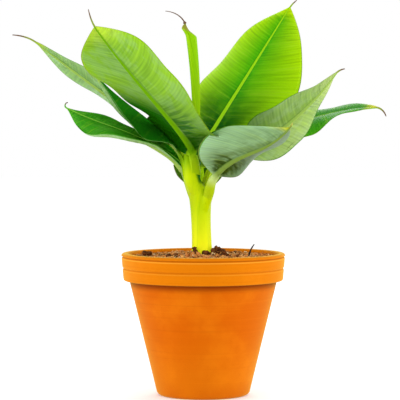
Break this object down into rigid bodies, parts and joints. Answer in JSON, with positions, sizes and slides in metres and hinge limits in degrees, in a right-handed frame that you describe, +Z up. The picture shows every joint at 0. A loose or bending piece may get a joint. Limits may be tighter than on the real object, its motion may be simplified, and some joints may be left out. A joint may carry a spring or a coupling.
{
  "type": "potted banana plant",
  "caption": "Young banana plant in a round terracotta pot: a short green pseudostem, paddle leaves spreading in all directions, and a rolled new leaf.",
  "frame": {"origin": "centre of the pot's flat underside, on the surface that it stands on", "axes": "+Z up along the pot's axis; -Y towards the front, the side that the low front leaf turns to; +X to the right"},
  "size_m": [0.3503, 0.2474, 0.3659],
  "materials": {
    "terracotta": "unglazed orange terracotta, matt, with faint turning lines",
    "potting_soil": "dark brown crumbly peat and bark",
    "pseudostem": "smooth yellow-green leaf sheaths, satin",
    "leaf_sunlit_underside": "thin blade, waxy bright green underside, satin",
    "leaf_sunlit_upper_side": "thin blade, bright green upper side, satin",
    "leaf_underside": "thin blade, pale waxy grey-green underside, matt",
    "leaf_upper_side": "thin blade, deep green upper side, satin",
    "rolled_leaf": "young rolled blade, yellow-green, satin"
  },
  "bodies": {
    "root": {"pot": "terracotta", "soil": "potting_soil", "pseudostem": "pseudostem", "leaf_front_right": "leaf_underside", "leaf_low_left": "leaf_upper_side", "leaf_back": "leaf_upper_side", "leaf_mid_right": "leaf_underside", "leaf_far_right": "leaf_upper_side", "leaf_folded_left": "leaf_upper_side", "leaf_tall_left": "leaf_sunlit_underside", "leaf_far_left": "leaf_underside", "leaf_tall_right": "leaf_sunlit_upper_side", "spear_leaf": "rolled_leaf"}
  },
  "joints": []
}
